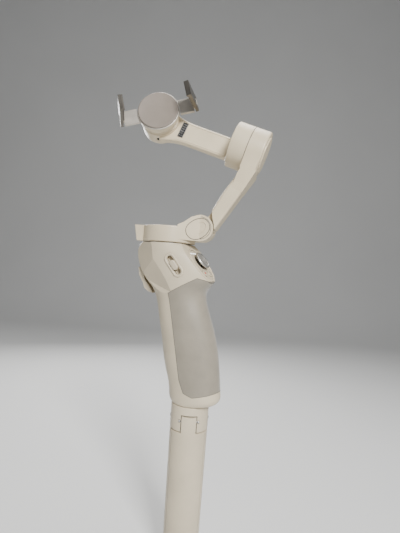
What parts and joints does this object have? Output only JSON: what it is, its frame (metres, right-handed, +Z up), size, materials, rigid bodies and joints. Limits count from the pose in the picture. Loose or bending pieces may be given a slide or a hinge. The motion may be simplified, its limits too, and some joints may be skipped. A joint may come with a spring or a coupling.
{
  "type": "folding handheld phone gimbal",
  "caption": "Folding handheld stabiliser with three motor axes, magnetic phone clamp, thumb controls and a screw-on mini tripod.",
  "frame": {"origin": "on the mini tripod's axis at the plane of its folded feet", "axes": "+Z up along the pan and tripod axes, +X the thumb panel side, -X the trigger side, -Y the zoom slider side"},
  "size_m": [0.1312, 0.0836, 0.4076],
  "materials": {
    "shell_grey": "satin",
    "ring_grey": "satin",
    "grip_rubber": "soft touch",
    "panel_grey": "satin",
    "dark_plastic": "matte",
    "pad_rubber": "matte",
    "gunmetal": "anodised",
    "steel": "brushed",
    "bright_metal": "polished",
    "copper_core": "wound",
    "board_green": "satin",
    "cell_wrap": "gloss",
    "light_white": "gloss"
  },
  "bodies": {
    "handle": {"tripod_collar": "shell_grey", "leg_pins": "steel", "tripod_stud": "steel", "handle_shell_left": "shell_grey", "handle_shell_right": "shell_grey", "grip_sleeve": "grip_rubber", "tripod_socket_insert": "steel", "usb_c_port": "steel", "battery": "cell_wrap", "main_board": "board_green", "control_board": "board_green", "thumb_panel": "panel_grey", "panel_rim": "panel_grey", "status_lights": "light_white", "joystick_base": "panel_grey", "slider_bezel": "panel_grey", "trigger_pin": "steel", "pan_stator": "copper_core", "pan_bearings": "steel"},
    "pan_ring": {"pan_ring": "ring_grey", "pan_ring_cap": "ring_grey", "pan_rotor": "steel", "hinge_pin": "steel", "hinge_covers": "ring_grey"},
    "folding_arm": {"folding_arm": "ring_grey", "fold_stop_pin": "bright_metal", "tilt_stator": "copper_core", "tilt_bearings": "steel"},
    "roll_arm": {"tilt_ring": "ring_grey", "tilt_rotor": "steel", "roll_arm": "ring_grey", "motor_ribbon_cable": "dark_plastic", "rating_label": "dark_plastic", "roll_stator": "copper_core", "roll_bearings": "steel"},
    "roll_rotor": {"roll_rotor": "steel", "roll_ring": "ring_grey", "magnet_base": "gunmetal", "base_magnets": "bright_metal"},
    "clamp": {"clamp_base": "gunmetal", "clamp_cover": "gunmetal", "clamp_pad": "pad_rubber"},
    "jaw_right": {"clamp_arm_right": "gunmetal"},
    "jaw_left": {"clamp_arm_left": "gunmetal"},
    "claw_right": {"claw_right": "gunmetal", "claw_pad_right": "pad_rubber"},
    "claw_left": {"claw_left": "gunmetal", "claw_pad_left": "pad_rubber"},
    "trigger": {"trigger": "panel_grey"},
    "zoom_slider": {"zoom_slider_knob": "panel_grey"},
    "joystick_yoke": {"joystick_yoke": "panel_grey"},
    "joystick": {"joystick_cap": "dark_plastic"},
    "record_button": {"record_button": "panel_grey"},
    "mode_button": {"mode_button": "panel_grey"},
    "leg_1": {"tripod_leg_1": "shell_grey", "leg_foot_1": "dark_plastic"},
    "leg_2": {"tripod_leg_2": "shell_grey", "leg_foot_2": "dark_plastic"},
    "leg_3": {"tripod_leg_3": "shell_grey", "leg_foot_3": "dark_plastic"}
  },
  "joints": [
    {"name": "pan", "type": "hinge", "parent": "handle", "child": "pan_ring", "pos_m": [-0.032, 0, 0.279], "axis": [0, 0, 1], "range_deg": [-87.6, 247.8]},
    {"name": "arm_fold", "type": "hinge", "parent": "pan_ring", "child": "folding_arm", "pos_m": [-0.00451, 0.00788, 0.2864], "axis": [-0.2756, 0.9613, 0], "range_deg": [-116, 0]},
    {"name": "tilt", "type": "hinge", "parent": "folding_arm", "child": "roll_arm", "pos_m": [0.03024, 0.01785, 0.3571], "axis": [0.9116, 0.2614, -0.3173], "range_deg": [-92.6, 87.6]},
    {"name": "roll", "type": "hinge", "parent": "roll_arm", "child": "roll_rotor", "pos_m": [-0.04865, -0.00432, 0.38636], "axis": [0.3412, -0.9115, 0.2294], "range_deg": [-175.3, 157]},
    {"name": "clamp_release", "type": "slide", "parent": "roll_rotor", "child": "clamp", "axis": [0.3412, -0.9115, 0.2294], "range_m": [0, 0.012]},
    {"name": "jaw_right_slide", "type": "slide", "parent": "clamp", "child": "jaw_right", "axis": [0.8782, 0.3962, 0.2679], "range_m": [0, 0.0115], "stiffness_N_per_m": 120, "springref_m": -0.005},
    {"name": "jaw_left_slide", "type": "slide", "parent": "clamp", "child": "jaw_left", "axis": [-0.8782, -0.3962, -0.2679], "range_m": [0, 0.0115], "stiffness_N_per_m": 120, "springref_m": -0.005},
    {"name": "claw_right_fold", "type": "hinge", "parent": "jaw_right", "child": "claw_right", "pos_m": [-0.01686, 0.00235, 0.39696], "axis": [-0.3351, 0.1101, 0.9357], "range_deg": [-56, 20]},
    {"name": "claw_left_fold", "type": "hinge", "parent": "jaw_left", "child": "claw_left", "pos_m": [-0.07553, -0.02412, 0.37907], "axis": [0.3351, -0.1101, -0.9357], "range_deg": [-56, 20]},
    {"name": "trigger_pull", "type": "hinge", "parent": "handle", "child": "trigger", "pos_m": [-0.052, 0, 0.247], "axis": [0, -1, 0], "range_deg": [0, 7], "stiffness_Nm_per_rad": 0.12, "springref_deg": -2.86},
    {"name": "zoom_slide", "type": "slide", "parent": "handle", "child": "zoom_slider", "axis": [0.6077, 0.0984, -0.788], "range_m": [-0.003, 0.003], "stiffness_N_per_m": 150},
    {"name": "joystick_up_down", "type": "hinge", "parent": "handle", "child": "joystick_yoke", "pos_m": [-0.00325, 0, 0.2548], "axis": [0, 1, 0], "range_deg": [-11, 11], "stiffness_Nm_per_rad": 0.02},
    {"name": "joystick_left_right", "type": "hinge", "parent": "joystick_yoke", "child": "joystick", "pos_m": [-0.00325, 0, 0.2548], "axis": [0.6388, 0, -0.7694], "range_deg": [-11, 11], "stiffness_Nm_per_rad": 0.02},
    {"name": "record_press", "type": "slide", "parent": "handle", "child": "record_button", "axis": [-0.7694, 0, -0.6388], "range_m": [0, 0.0007], "stiffness_N_per_m": 800, "springref_m": -0.0003},
    {"name": "mode_press", "type": "slide", "parent": "handle", "child": "mode_button", "axis": [-0.7694, 0, -0.6388], "range_m": [0, 0.0007], "stiffness_N_per_m": 800, "springref_m": -0.0003},
    {"name": "leg_1_spread", "type": "hinge", "parent": "handle", "child": "leg_1", "pos_m": [0.00558, -0.01196, 0.126], "axis": [-0.9063, -0.4226, 0], "range_deg": [0, 55]},
    {"name": "leg_2_spread", "type": "hinge", "parent": "handle", "child": "leg_2", "pos_m": [0.00757, 0.01081, 0.126], "axis": [0.8192, -0.5736, 0], "range_deg": [0, 55]},
    {"name": "leg_3_spread", "type": "hinge", "parent": "handle", "child": "leg_3", "pos_m": [-0.01315, 0.00115, 0.126], "axis": [0.0872, 0.9962, 0], "range_deg": [0, 55]}
  ],
  "couplings": [
    {"joint": "jaw_left_slide", "follows": "jaw_right_slide", "ratio": 1}
  ]
}
